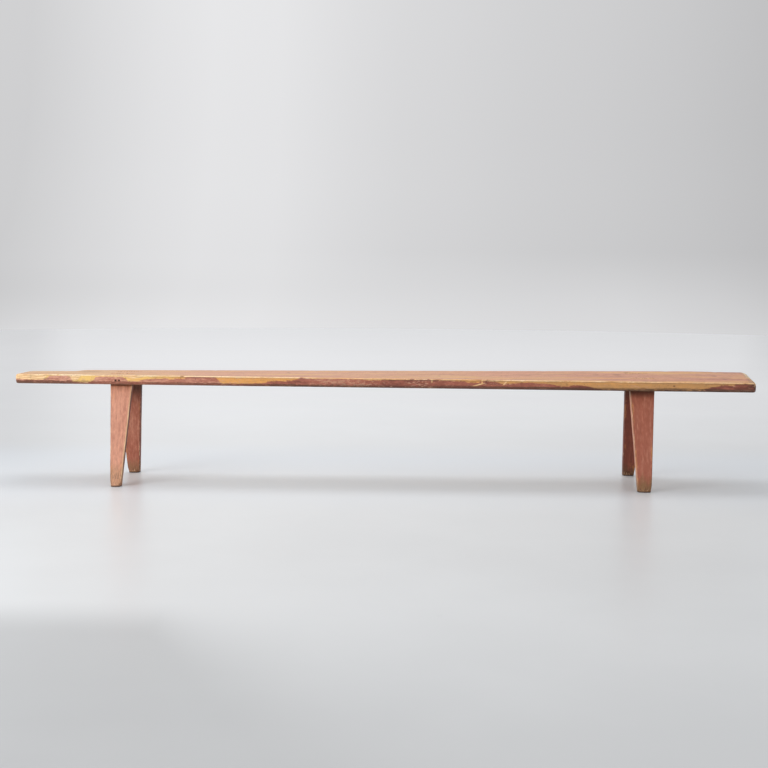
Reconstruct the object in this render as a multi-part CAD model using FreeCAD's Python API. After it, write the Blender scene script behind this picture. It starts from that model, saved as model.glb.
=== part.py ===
import FreeCAD, Part
import math
import os

# A long plank bench of solid softwood: one thick seat plank on four splayed board legs,
# each leg through-tenoned into the plank and spread there with two wedges.
# +X runs along the bench to the right, the front looks towards -Y and the soles stand at z = 0.
# Sizes are in millimetres, angles in degrees.

# Seat plank: cut from a tapering log, so it widens to the right, and gone into winding with age
seat_length = 3041.0
seat_height = 453.0
seat_thickness = 40.0
seat_left_width = 280.0
seat_right_width = 345.0
right_end_skew = 43.0
right_end_rise = 4.5
right_end_forward = 13.6
left_winding_deg = -1.6
right_winding_deg = 3.1

# Worn arrises of the plank: rounded above, bevelled below, and rounded at both ends
top_arris = 6.0
under_bevel_height = 12.0
under_bevel_inset = 5.0
end_rounding_length = 12.0
end_rounding_inset = 12.0
end_rounding_drop = 5.0
end_rounding_steps = 3

# Where the legs stand, measured from the nearer end of the plank to the middle of each leg
front_left_from_end = 422.5
rear_left_from_end = 425.0
front_right_from_end = 482.0
rear_right_from_end = 478.0

# Legs: boards with their broad faces to the front and rear, tapering to the foot
leg_thickness = 34.0
leg_splay_deg = 15.0
rear_right_splay_deg = 18.0
left_tenon_spacing = 116.0
right_tenon_spacing = 145.0
left_feet_outward = 6.0
right_feet_outward = 1.0
front_left_shoulder_width = 90.0
front_left_foot_width = 43.5
rear_left_shoulder_width = 103.0
rear_left_foot_width = 49.0
front_right_shoulder_width = 101.0
front_right_foot_width = 55.5
rear_right_shoulder_width = 88.0
rear_right_foot_width = 48.5
leg_arris = 2.5
sole_bevel = 3.0

# Through-tenons, as wide as the leg with shoulders on its two broad faces, and their wedges
tenon_thickness = 22.0
wedge_head_thickness = 5.0
wedge_tip_thickness = 1.0
wedge_depth = 33.0
wedge_place_share = 0.29

# Two forged nails through the front edge of the plank lock the front left tenon
nail_past_tenon = 8.0
nail_shank_width = 4.5
nail_tip_width = 1.5
nail_head_width = 9.0
nail_crown_width = 3.0
nail_head_height = 3.0
nail_head_depth = 1.0
nail_above_bevel = 5.0
nail_spacing = 14.4
nail_pair_offset = -3.5

# How far a cutting shape runs on past what it cuts
overrun = 10.0

FRONT, REAR = -1, 1
LEFT, RIGHT = -1, 1

underside_height = seat_height - seat_thickness


def between(start, end, share):
    return start + (end - start) * share


def level_depth(thickness, splay_deg):
    """Depth along Y of a level cut through a board or tenon that leans by its splay."""
    return thickness / math.cos(math.radians(splay_deg))


def right_foot_reach(splay_deg):
    """How far the outer edge of a right-hand foot stands from the middle of its pair."""
    foot_depth_below_top = seat_height - sole_bevel
    middle = right_tenon_spacing / 2 + foot_depth_below_top * math.tan(math.radians(splay_deg))
    return middle + level_depth(leg_thickness, splay_deg) / 2


# The right pair reaches furthest both ways, so y = 0 lies midway between its outer edges
pair_middle = (right_foot_reach(leg_splay_deg) - right_foot_reach(rear_right_splay_deg)) / 2


def plank_corner(end, side):
    """Top corner of the plank before its arrises are worn, at one end and one side."""
    if end == LEFT:
        x = -seat_length / 2
        half_width = seat_left_width / 2
        winding = left_winding_deg
        y = pair_middle + side * half_width
    else:
        rounded_off = end_rounding_inset * right_end_skew / seat_right_width
        x = seat_length / 2 + rounded_off - (right_end_skew if side == FRONT else 0)
        half_width = seat_right_width / 2
        winding = right_winding_deg
        y = pair_middle + side * half_width - right_end_forward
    middle_height = seat_height + end * right_end_rise / 2
    z = middle_height + side * half_width * math.tan(math.radians(winding))
    return FreeCAD.Vector(x, y, z)


def end_outline(end, inset, drop):
    """Corner points of the plank's cross-section at one end, front ones first.

    inset draws the sides in and drop lowers the top and raises the underside."""
    low = drop
    high = seat_thickness - drop
    turn = top_arris * (1 - math.sqrt(0.5))
    places = [(under_bevel_inset, low), (0, under_bevel_height), (0, high - top_arris),
              (turn, high - turn), (top_arris, high)]
    points = []
    for side in (FRONT, REAR):
        near = plank_corner(end, side)
        far = plank_corner(end, -side)
        width = abs(far.y - near.y)
        for from_side, height in places:
            point = between(near, far, (inset + from_side) / width)
            points.append(point - FreeCAD.Vector(0, 0, seat_thickness - height))
    return points


def outline_at(along, inset=0, drop=0):
    """Corner points of the cross-section at a share of the way from the left end to the right."""
    left = end_outline(LEFT, inset, drop)
    right = end_outline(RIGHT, inset, drop)
    return [between(start, end, along) for start, end in zip(left, right)]


def plank_section(along, inset=0, drop=0):
    """Cross-section as a wire: a bevel below, an upright face and a round arris on each side."""
    points = outline_at(along, inset, drop)
    front, rear = points[:5], points[5:]
    edges = [Part.LineSegment(front[0], front[1]),
             Part.LineSegment(front[1], front[2]),
             Part.Arc(front[2], front[3], front[4]),
             Part.LineSegment(front[4], rear[4]),
             Part.Arc(rear[4], rear[3], rear[2]),
             Part.LineSegment(rear[2], rear[1]),
             Part.LineSegment(rear[1], rear[0]),
             Part.LineSegment(rear[0], front[0])]
    return Part.Wire([edge.toShape() for edge in edges])


def plank_blank():
    """The whole plank before it is mortised: a ruled solid through its cross-sections."""
    left_sections = []
    right_sections = []
    for step in range(end_rounding_steps + 1):
        turn = math.radians(90.0 * step / end_rounding_steps)
        along = end_rounding_length * (1 - math.cos(turn)) / seat_length
        inset = end_rounding_inset * (1 - math.sin(turn))
        drop = end_rounding_drop * (1 - math.sin(turn))
        left_sections.append(plank_section(along, inset, drop))
        right_sections.insert(0, plank_section(1 - along, inset, drop))
    return Part.makeLoft(left_sections + right_sections, True, True)


def plank_slice(x, reach):
    """The stretch of the plank within reach of a leg: the twisted faces that its joint is cut to."""
    ends = [(x + step * reach) / seat_length + 0.5 for step in (-1, 1)]
    return Part.makeLoft([plank_section(along) for along in ends], True, True)


def facetted_solid(loops):
    """Solid with flat faces through loops of points, each loop with as many points as the next."""
    faces = [Part.Face(Part.makePolygon(loop + loop[:1])) for loop in (loops[0], loops[-1])]
    for lower, upper in zip(loops, loops[1:]):
        for this, following in zip(range(-1, len(lower) - 1), range(len(lower))):
            quad = [lower[this], lower[following], upper[following], upper[this], lower[this]]
            faces.append(Part.Face(Part.makePolygon(quad)))
    solid = Part.makeSolid(Part.makeShell(faces))
    if solid.Volume < 0:
        solid.reverse()
    return solid


class Leg:
    """Where one leg stands, and how its middle line and its width change with height."""

    def __init__(self, name, end, side, from_end, shoulder_width, foot_width, splay_deg=leg_splay_deg):
        self.name = name
        self.end = end
        self.side = side
        self.x = end * (seat_length / 2 - from_end)
        self.shoulder_width = shoulder_width
        self.foot_width = foot_width
        self.splay = math.tan(math.radians(splay_deg))
        self.board_depth = level_depth(leg_thickness, splay_deg)
        self.tenon_depth = level_depth(tenon_thickness, splay_deg)
        if end == LEFT:
            self.foot_shift = -left_feet_outward
            self.spacing = left_tenon_spacing
        else:
            self.foot_shift = right_feet_outward
            self.spacing = right_tenon_spacing

    def width(self, z):
        return between(self.foot_width, self.shoulder_width, z / underside_height)

    def middle(self, z):
        x = self.x + self.foot_shift * (1 - z / underside_height)
        y = pair_middle + self.side * (self.spacing / 2 + (seat_height - z) * self.splay)
        return FreeCAD.Vector(x, y, z)


LEGS = [
    Leg("front_left", LEFT, FRONT, front_left_from_end, front_left_shoulder_width, front_left_foot_width),
    Leg("rear_left", LEFT, REAR, rear_left_from_end, rear_left_shoulder_width, rear_left_foot_width),
    Leg("front_right", RIGHT, FRONT, front_right_from_end, front_right_shoulder_width,
        front_right_foot_width),
    Leg("rear_right", RIGHT, REAR, rear_right_from_end, rear_right_shoulder_width,
        rear_right_foot_width, rear_right_splay_deg),
]


def level_loop(middle, half_width, half_depth, corner):
    """Level rectangle about a point, with its corners cut off where corner is over zero."""
    if corner > 0:
        places = [(half_width - corner, half_depth), (half_width, half_depth - corner),
                  (half_width, corner - half_depth), (half_width - corner, -half_depth),
                  (corner - half_width, -half_depth), (-half_width, corner - half_depth),
                  (-half_width, half_depth - corner), (corner - half_width, half_depth)]
    else:
        places = [(half_width, half_depth), (half_width, -half_depth),
                  (-half_width, -half_depth), (-half_width, half_depth)]
    return [middle + FreeCAD.Vector(x, y, 0) for x, y in places]


def leg_board(leg):
    """The tapered board, from its bevelled sole to a level inside the plank."""
    half_depth = leg.board_depth / 2
    inside_plank = seat_height - seat_thickness / 2
    sole = level_loop(leg.middle(0), leg.width(0) / 2 - sole_bevel, half_depth - sole_bevel, leg_arris)
    foot = level_loop(leg.middle(sole_bevel), leg.width(sole_bevel) / 2, half_depth, leg_arris)
    top = level_loop(leg.middle(inside_plank), leg.width(inside_plank) / 2, half_depth, leg_arris)
    return facetted_solid([sole, foot, top])


def tenon_bar(leg):
    """The tenon run on past both faces of the plank: the leg's own taper, but thinner."""
    loops = []
    for z in (underside_height - overrun, seat_height + overrun * 2):
        loops.append(level_loop(leg.middle(z), leg.width(z) / 2, leg.tenon_depth / 2, 0))
    return facetted_solid(loops)


def wedge_bar(leg, end):
    """One wedge across the tenon, run on past the top of the plank with the same taper."""
    low = seat_height - wedge_depth
    high = seat_height + overrun * 2
    loops = []
    for z in (low, high):
        thickness = between(wedge_tip_thickness, wedge_head_thickness, (z - low) / wedge_depth)
        place = leg.middle(z) + FreeCAD.Vector(end * leg.width(z) * wedge_place_share, 0, 0)
        loops.append(level_loop(place, thickness / 2, leg.tenon_depth / 2, 0))
    return facetted_solid(loops)


def square_loop(x, y, z, width):
    """Upright square in the plane of a nail's cross-section, which looks along Y."""
    half = width / 2
    places = [(half, half), (half, -half), (-half, -half), (-half, half)]
    return [FreeCAD.Vector(x + dx, y, z + dz) for dx, dz in places]


def nail(leg, side):
    """Square tapered shank and a low rose head, sunk a little into the front edge."""
    x = leg.x + nail_pair_offset + side * nail_spacing / 2
    bevel_top = outline_at(x / seat_length + 0.5)[1]
    face = bevel_top + FreeCAD.Vector(0, 0, nail_above_bevel)
    tenon_back = leg.middle(face.z).y + leg.tenon_depth / 2
    head_back = face.y + nail_head_depth
    shank = facetted_solid([square_loop(x, head_back, face.z, nail_shank_width),
                            square_loop(x, tenon_back + nail_past_tenon, face.z, nail_tip_width)])
    head = facetted_solid([square_loop(x, head_back - nail_head_height, face.z, nail_crown_width),
                           square_loop(x, head_back, face.z, nail_head_width)])
    return head.fuse(shank)


def lowest_solid(shape):
    """The one solid of a result, or the lower one where a cut leaves a piece above the plank."""
    return min(shape.Solids, key=lambda solid: solid.CenterOfMass.z)


def make_parts():
    blank = plank_blank()
    nails = [nail(LEGS[0], LEFT), nail(LEGS[0], RIGHT)]
    parts = {}
    tenons = []
    for leg in LEGS:
        bar = tenon_bar(leg)
        tenons.append(bar)
        joint = plank_slice(leg.x, leg.shoulder_width)
        body = lowest_solid(leg_board(leg).cut(joint))
        solid = body.fuse(bar.common(joint))
        for label, end in (("outer", leg.end), ("inner", -leg.end)):
            wedge = wedge_bar(leg, end)
            solid = solid.cut(wedge)
            parts[leg.name + "_" + label + "_wedge"] = lowest_solid(wedge.common(joint))
        if leg is LEGS[0]:
            solid = solid.cut(nails)
        parts[leg.name + "_leg"] = lowest_solid(solid.removeSplitter())
    parts["seat_plank"] = lowest_solid(blank.cut(tenons + nails))
    parts["front_left_nails"] = Part.makeCompound([lowest_solid(piece.removeSplitter()) for piece in nails])
    return parts


def main():
    os.makedirs("parts", exist_ok=True)
    for name, shape in make_parts().items():
        shape.exportStep("parts/" + name + ".step")
        box = shape.BoundBox
        print("%-26s %9.1f cm3  x %8.1f..%8.1f  y %7.1f..%7.1f  z %6.1f..%6.1f" % (
            name, shape.Volume / 1000.0, box.XMin, box.XMax, box.YMin, box.YMax, box.ZMin, box.ZMax))


main()
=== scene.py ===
import math
from functools import reduce

import bmesh
import bpy
import numpy as np
from mathutils import Euler, Matrix, Vector, noise


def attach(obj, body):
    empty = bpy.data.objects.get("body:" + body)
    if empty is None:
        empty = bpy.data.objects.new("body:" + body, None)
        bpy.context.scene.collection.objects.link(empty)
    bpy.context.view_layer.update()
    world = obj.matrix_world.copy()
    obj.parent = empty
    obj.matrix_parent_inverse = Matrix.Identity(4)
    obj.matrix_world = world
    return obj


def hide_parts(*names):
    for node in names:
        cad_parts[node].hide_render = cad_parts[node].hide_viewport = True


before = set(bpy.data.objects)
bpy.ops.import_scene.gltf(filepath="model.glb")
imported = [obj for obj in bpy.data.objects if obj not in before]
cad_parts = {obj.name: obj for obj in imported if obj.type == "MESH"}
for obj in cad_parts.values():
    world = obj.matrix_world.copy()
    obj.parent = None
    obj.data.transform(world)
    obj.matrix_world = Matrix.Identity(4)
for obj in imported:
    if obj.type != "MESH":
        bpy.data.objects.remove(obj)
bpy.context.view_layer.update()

# Camera, fitted to the photograph
CAMERA_PLACE = (0.0583, -5.4558, 0.9338)
CAMERA_PITCH = 0.0957
CAMERA_YAW = 0.0140
CAMERA_ROLL = 0.0072
FOCAL_PIXELS = 1311.5
PICTURE_PIXELS = 768
SENSOR_MM = 36.0

# Seat plank, in metres, as in the solid model
SEAT_LENGTH = 3.041
SEAT_HEIGHT = 0.453
THICKNESS = 0.040
LEFT_WIDTH = 0.280
RIGHT_WIDTH = 0.345
END_SKEW = 0.043
END_RISE = 0.0045
END_FORWARD = 0.0136
LEFT_WINDING = math.radians(-1.6)
RIGHT_WINDING = math.radians(3.1)
TOP_ARRIS = 0.006
BEVEL_HEIGHT = 0.012
BEVEL_INSET = 0.005
END_ROUNDING = 0.012
END_DROP = 0.005

FRONT, REAR = -1, 1
LEFT, RIGHT = -1, 1

# Legs: name, end, side, distance from the end, shoulder width, foot width, splay in degrees
SPLAY = 15.0
REAR_RIGHT_SPLAY = 18.0
LEG_SIZES = [
    ("front_left", LEFT, FRONT, 0.4225, 0.090, 0.0435, SPLAY),
    ("rear_left", LEFT, REAR, 0.4250, 0.103, 0.0490, SPLAY),
    ("front_right", RIGHT, FRONT, 0.4820, 0.101, 0.0555, SPLAY),
    ("rear_right", RIGHT, REAR, 0.4780, 0.088, 0.0485, REAR_RIGHT_SPLAY),
]
LEG_THICKNESS = 0.034
TENON_THICKNESS = 0.022
TENON_SPACING = {LEFT: 0.116, RIGHT: 0.145}
FOOT_SHIFT = {LEFT: -0.006, RIGHT: 0.001}
SOLE_BEVEL = 0.003
UNDERSIDE = SEAT_HEIGHT - THICKNESS


def colour(red, green, blue):
    """Linear colour from 0 to 255 screen values."""
    def linear(value):
        share = value / 255
        return share / 12.92 if share <= 0.04045 else ((share + 0.055) / 1.055) ** 2.4
    return (linear(red), linear(green), linear(blue), 1.0)


def mean(first, second, share):
    return first + (second - first) * share


def foot_reach(splay):
    """How far the outer edge of a right-hand foot stands from the middle of its pair."""
    slope = math.radians(splay)
    middle = TENON_SPACING[RIGHT] / 2 + (SEAT_HEIGHT - SOLE_BEVEL) * math.tan(slope)
    return middle + LEG_THICKNESS / 2 / math.cos(slope)


PAIR_MIDDLE = (foot_reach(SPLAY) - foot_reach(REAR_RIGHT_SPLAY)) / 2


def plank_corner(end, side):
    """Top corner of the plank before its arrises are worn."""
    if end == LEFT:
        x = -SEAT_LENGTH / 2
        half, winding, forward = LEFT_WIDTH / 2, LEFT_WINDING, 0
    else:
        skew = END_SKEW if side == FRONT else 0
        x = SEAT_LENGTH / 2 + END_ROUNDING * END_SKEW / RIGHT_WIDTH - skew
        half, winding, forward = RIGHT_WIDTH / 2, RIGHT_WINDING, END_FORWARD
    y = PAIR_MIDDLE + side * half - forward
    z = SEAT_HEIGHT + end * END_RISE / 2 + side * half * math.tan(winding)
    return np.array([x, y, z])


CORNERS = {(end, side): plank_corner(end, side) for end in (LEFT, RIGHT) for side in (FRONT, REAR)}


def plank_point(along, side, inward, height):
    """A point of the cross-section at a share along the plank, so far in from one side and so high."""
    ends = []
    for end in (LEFT, RIGHT):
        near, far = CORNERS[end, side], CORNERS[end, -side]
        ends.append(mean(near, far, inward / abs(far[1] - near[1])))
    point = mean(ends[0], ends[1], along)
    return point - np.array([0, 0, THICKNESS - height])


def plank_places(points):
    """Where points lie in the plank: distances from its front, rear, top, left end and right end."""
    x, y, z = points.T
    lf, lr, rf, rr = CORNERS.values()
    across = np.full(len(points), 0.5)
    for _ in range(4):
        along = (x - lf[0]) / (mean(rf[0], rr[0], across) - lf[0])
        front, rear = mean(lf[1], rf[1], along), mean(lr[1], rr[1], along)
        across = (y - front) / (rear - front)
    top = mean(mean(lf[2], rf[2], along), mean(lr[2], rr[2], along), across)
    return {"front": y - front, "rear": rear - y, "down": top - z,
            "left": along * SEAT_LENGTH, "right": (1 - along) * SEAT_LENGTH}


def field(points, scale, seed):
    """Smooth noise from -1 to 1 at points, stretched by three scales."""
    places = points * scale + (seed, -seed, seed * 0.5)
    return np.array([noise.noise(place) for place in places])


def bell(distance, width):
    return np.exp(-(distance / width) ** 2)


def ease(share):
    share = np.clip(share, 0, 1)
    return share * share * (3 - 2 * share)


# Mesh building

def new_object(name, data):
    thing = bpy.data.objects.new(name, data)
    bpy.context.scene.collection.objects.link(thing)
    return thing


def make_object(name, points, faces):
    mesh = bpy.data.meshes.new(name)
    mesh.from_pydata([tuple(point) for point in points], [], faces)
    mesh.validate()
    return new_object(name, mesh)


def ring_faces(rings, count):
    """Faces between each ring of count points and the next."""
    faces = []
    for base in range(0, (rings - 1) * count, count):
        for k in range(count):
            after = (k + 1) % count
            faces.append((base + k, base + after, base + count + after, base + count + k))
    return faces


def cap_grid(ring, wide, high):
    """Inner points of an end face, spread between the points of its outline, as [v, u]."""
    bottom, right = ring[:wide + 1], ring[wide:wide + high + 1]
    top = ring[wide + high:2 * wide + high + 1][::-1]
    left = np.vstack([ring[2 * wide + high:], ring[:1]])[::-1]
    u = np.linspace(0, 1, wide + 1)[1:-1, None]
    v = np.linspace(0, 1, high + 1)[1:-1, None, None]
    edges = mean(bottom[1:-1], top[1:-1], v) + mean(left[1:-1, None], right[1:-1, None], u)
    return edges - mean(mean(bottom[0], bottom[-1], u), mean(top[0], top[-1], u), v)


def sleeve(name, rings, wide, high):
    """A closed mesh through rings of points, each a rectangle's outline of wide by high steps."""
    count = 2 * (wide + high)
    points = [point for ring in rings for point in ring]
    faces = ring_faces(len(rings), count)
    for ring, outward in ((0, False), (len(rings) - 1, True)):
        base = ring * count
        index = {}
        for u in range(wide + 1):
            index[u, 0] = base + u
            index[u, high] = base + 2 * wide + high - u
        for v in range(1, high):
            index[wide, v] = base + wide + v
            index[0, v] = base + count - v
        for v, row in enumerate(cap_grid(np.array(rings[ring]), wide, high), 1):
            for u, point in enumerate(row, 1):
                index[u, v] = len(points)
                points.append(point)
        for v in range(high):
            for u in range(wide):
                quad = (index[u, v], index[u + 1, v], index[u + 1, v + 1], index[u, v + 1])
                faces.append(quad if outward else quad[::-1])
    return make_object(name, points, faces)


def read_points(mesh, normals=False):
    source, key = (mesh.vertex_normals, "vector") if normals else (mesh.vertices, "co")
    values = np.zeros(len(mesh.vertices) * 3, np.float32)
    source.foreach_get(key, values)
    return values.reshape(-1, 3).astype(float)


def write_points(mesh, points):
    mesh.vertices.foreach_set("co", points.astype(np.float32).ravel())
    mesh.update()


def solid_between(name, loops):
    """A closed cutter with flat faces through loops of points."""
    size = len(loops[0])
    points = [point for loop in loops for point in loop]
    faces = [tuple(range(size))[::-1], tuple(range(len(points) - size, len(points)))]
    faces += ring_faces(len(loops), size)
    piece = make_object(name, points, faces)
    work = bmesh.new()
    work.from_mesh(piece.data)
    bmesh.ops.recalc_face_normals(work, faces=work.faces)
    work.to_mesh(piece.data)
    work.free()
    return piece


def cut(piece, cutters):
    """Takes the cutters, which don't overlap, out of the piece, and deletes them."""
    cutter = new_object("cutter", bpy.data.meshes.new("cutter"))
    work = bmesh.new()
    for part in cutters:
        work.from_mesh(part.data)
        bpy.data.objects.remove(part)
    work.to_mesh(cutter.data)
    work.free()
    modifier = piece.modifiers.new("cut", "BOOLEAN")
    modifier.operation = "DIFFERENCE"
    modifier.solver = "EXACT"
    modifier.object = cutter
    graph = bpy.context.evaluated_depsgraph_get()
    mesh = bpy.data.meshes.new_from_object(piece.evaluated_get(graph))
    piece.modifiers.clear()
    old, piece.data = piece.data, mesh
    bpy.data.meshes.remove(old)
    bpy.data.objects.remove(cutter)


def smooth(piece, degrees=40):
    """Smooths the shading, except over edges that turn by more than these degrees."""
    mesh = piece.data
    mesh.polygons.foreach_set("use_smooth", [True] * len(mesh.polygons))
    mesh.set_sharp_from_angle(angle=math.radians(degrees))


def store(piece, values):
    """Keeps one number per point, for the material to read."""
    for name, numbers in values.items():
        attribute = piece.data.attributes.new(name, "FLOAT", "POINT")
        attribute.data.foreach_set("value", numbers.astype(np.float32))


# The legs' places, and the joints' cutters

class Leg:
    def __init__(self, name, end, side, from_end, shoulder, foot, splay):
        self.name, self.end, self.side = name, end, side
        self.x = end * (SEAT_LENGTH / 2 - from_end)
        self.shoulder, self.foot = shoulder, foot
        self.angle = math.radians(splay)
        self.slope = math.tan(self.angle)
        self.board = LEG_THICKNESS / math.cos(self.angle)
        self.tenon = TENON_THICKNESS / math.cos(self.angle)

    def width(self, z):
        return mean(self.foot, self.shoulder, z / UNDERSIDE)

    def middle(self, z):
        x = self.x + FOOT_SHIFT[self.end] * (1 - z / UNDERSIDE)
        y = PAIR_MIDDLE + self.side * (TENON_SPACING[self.end] / 2 + (SEAT_HEIGHT - z) * self.slope)
        return np.array([x, y, z])

    def at(self, across, through, z, depth):
        """A point by shares from -1 to 1 of the width and of a depth, at a height."""
        return self.middle(z) + np.array([across * self.width(z) / 2, through * depth / 2, 0])

    def slide(self, across, through, depth, down):
        """The point of that line of the leg that lies so far below the plank's top."""
        z = SEAT_HEIGHT
        for _ in range(6):
            point = self.at(across, through, z, depth)
            z += plank_places(point[None])["down"][0] - down
        return self.at(across, through, z, depth)


LEGS = [Leg(*sizes) for sizes in LEG_SIZES]


# Gaps of the joints, at each side of what passes through, and how far a mortise's cutter stands out
MORTISE_GAP_ACROSS = 0.0002
MORTISE_GAP_THROUGH = 0.0003
NAIL_GAP = 0.0001
WEDGE_GAP = 0.00012
CUTTER_REACH = 0.03


def mortise(leg):
    """The cutter of a leg's mortise: its tenon, a little larger."""
    loops = []
    for z in (UNDERSIDE - CUTTER_REACH, SEAT_HEIGHT + CUTTER_REACH):
        across = 1 + 2 * MORTISE_GAP_ACROSS / leg.width(z)
        loops.append([leg.at(a * across, t, z, leg.tenon + 2 * MORTISE_GAP_THROUGH)
                      for a, t in ((1, 1), (1, -1), (-1, -1), (-1, 1))])
    return solid_between("mortise", loops)


def widened_copy(node, gap):
    """A cutter a little larger than a solid of the model, pushed out along its normals."""
    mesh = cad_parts[node].data.copy()
    piece = new_object("copy", mesh)
    work = bmesh.new()
    work.from_mesh(mesh)
    bmesh.ops.remove_doubles(work, verts=work.verts, dist=1e-5)
    work.normal_update()
    for vertex, move in [(vertex, vertex.normal * gap) for vertex in work.verts]:
        vertex.co += move
    work.to_mesh(mesh)
    work.free()
    return piece


# A crack's shape: shares of its half length and of its full width and depth; how far above it starts
CRACK_SHAPE = ((-1, 0.03), (-0.55, 0.7), (-0.1, 1), (0.35, 0.8), (0.7, 0.45), (1, 0.03))
CRACK_START = 0.004


def crack(middle, along, side, deep, length, width, depth):
    """A cutter like a narrow boat: a drying check that is widest in the middle of its length."""
    middle, along, side, deep = [np.array(v, float) for v in (middle, along, side, deep)]
    along, side, deep = [v / np.linalg.norm(v) for v in (along, side, deep)]
    loops = []
    for share, fullness in CRACK_SHAPE:
        place = middle + along * share * length / 2
        half = side * width / 2 * fullness
        above, below = place - deep * CRACK_START, place + deep * depth * fullness
        loops.append([above - half, above + half, below + half * 0.15, below - half * 0.15])
    return solid_between("crack", loops)


# Seat plank

PLANK_WIDE = 56
ARRIS_STEPS = 4
FACE_STEPS = 7
BEVEL_STEPS = 3
PLANK_HIGH = BEVEL_STEPS + FACE_STEPS + ARRIS_STEPS
STATION = 0.0065
FINE_STATION = 0.002
END_STEPS = 8

# Dents and lost splinters of the front and rear arrises: place along the bench, half length and depth
CHIPS = [
    (-1.395, 0.009, 0.003), (-1.345, 0.006, 0.002), (-1.13, 0.004, 0.003), (-1.114, 0.004, 0.004),
    (-1.102, 0.003, 0.003), (-1.083, 0.006, 0.002), (-0.837, 0.005, 0.004), (-0.352, 0.008, 0.003),
    (-0.16, 0.006, 0.002), (-0.06, 0.004, 0.003), (0.085, 0.005, 0.003), (0.166, 0.0028, 0.007),
    (0.372, 0.009, 0.003), (0.404, 0.006, 0.005), (0.424, 0.004, 0.004), (0.455, 0.007, 0.003),
    (0.716, 0.004, 0.004), (0.734, 0.003, 0.003), (0.906, 0.006, 0.002), (1.262, 0.005, 0.003),
    (1.436, 0.007, 0.003)]
REAR_CHIPS = [
    (-1.21, 0.012, 0.003), (-0.74, 0.008, 0.004), (-0.31, 0.01, 0.002), (0.27, 0.009, 0.004),
    (0.66, 0.008, 0.003), (1.18, 0.011, 0.004), (1.39, 0.008, 0.004)]
# Those of the two ends, with the place across the bench
END_CHIPS = {
    LEFT: [(-0.118, 0.012, 0.004), (-0.06, 0.008, 0.002), (0.05, 0.014, 0.003), (0.11, 0.01, 0.004)],
    RIGHT: [(-0.175, 0.012, 0.004), (-0.128, 0.01, 0.006), (-0.085, 0.014, 0.009), (-0.03, 0.015, 0.009),
            (0.035, 0.018, 0.01), (0.09, 0.014, 0.008), (0.13, 0.01, 0.006)]}
# How deep the hollows and furrows of the top and the waves of the other faces are, and how far down the
# top's reach
HOLLOWS = 0.0003
FURROWS = 0.00015
WAVES = 0.0003
TOP_LAYER = 0.004
# How deep the arrises are rubbed (evenly, and in broad and narrow patches), and how far that reaches
SIDE_RUBBED = (0.0007, 0.0022, 0.0012)
SIDE_REACH = 0.0065
CHIP_REACH = 0.009
BEVEL_RUBBED = 0.0007
BEVEL_REACH = 0.008
END_RUBBED = (0.0012, 0.002)
END_REACH = 0.011
LOW_END_RUBBED = 0.001
LOW_END_REACH = 0.009
# How much lower the top's rear corners are rubbed, and how far along, in and down that reaches
CORNER_DROP = 0.0045
LEFT_CORNER, RIGHT_CORNER = 0.24, 0.30
CORNER_INWARD = 0.10
CORNER_DOWN = 0.030
# Drying checks of the ends: place across, tilt, length and width
END_CRACKS = {
    LEFT: ((-0.1, 0.2, 0.1, 0.0012), (-0.052, -0.3, 0.05, 0.0008), (-0.012, 0.1, 0.16, 0.0016),
           (0.04, 0.35, 0.07, 0.0009), (0.088, -0.15, 0.12, 0.0013)),
    RIGHT: ((-0.15, 0.25, 0.08, 0.001), (-0.095, -0.2, 0.14, 0.0016), (-0.04, 0.15, 0.06, 0.0009),
            (0.012, -0.1, 0.18, 0.0018), (0.062, 0.3, 0.09, 0.001), (0.105, -0.25, 0.06, 0.0008))}
END_CRACK_DEPTH = 0.022
# Those of the top: place, turn, length and width
TOP_CRACKS = [(-1.243, 0.004, -0.02, 0.084, 0.0022), (-0.62, -0.06, 0.01, 0.19, 0.0009),
              (-0.18, 0.055, 0.015, 0.26, 0.0011), (0.52, 0.02, -0.01, 0.22, 0.001),
              (0.86, -0.09, -0.015, 0.12, 0.0009), (1.29, 0.05, 0, 0.1, 0.0009)]
TOP_CRACK_DEPTH = 0.012
# The gap beside the rear right tenon: share of the tenon's width, length, width and depth
TENON_CRACK = (-0.86, 0.030, 0.0045, 0.014)


def column(inset, drop):
    """Points of the plank's side from the underside to the top, as (inward, height)."""
    high = THICKNESS - drop
    bevel = [step / BEVEL_STEPS for step in range(BEVEL_STEPS)]
    places = [(BEVEL_INSET * (1 - share), mean(drop, BEVEL_HEIGHT, share)) for share in bevel]
    for step in range(FACE_STEPS):
        places.append((0, mean(BEVEL_HEIGHT, high - TOP_ARRIS, step / FACE_STEPS)))
    for step in range(ARRIS_STEPS + 1):
        turn = math.pi / 2 * step / ARRIS_STEPS
        places.append((TOP_ARRIS * (1 - math.cos(turn)), high - TOP_ARRIS * (1 - math.sin(turn))))
    return [(inset + inward, height) for inward, height in places]


def plank_ring(along, inset, drop):
    places = column(inset, drop)
    front = [plank_point(along, FRONT, *place) for place in places]
    rear = [plank_point(along, REAR, *place) for place in places]
    shares = [step / PLANK_WIDE for step in range(PLANK_WIDE + 1)]
    bottom = [mean(front[0], rear[0], share) for share in shares]
    top = [mean(rear[-1], front[-1], share) for share in shares]
    return bottom + rear[1:-1] + top + front[-2:0:-1]


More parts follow.
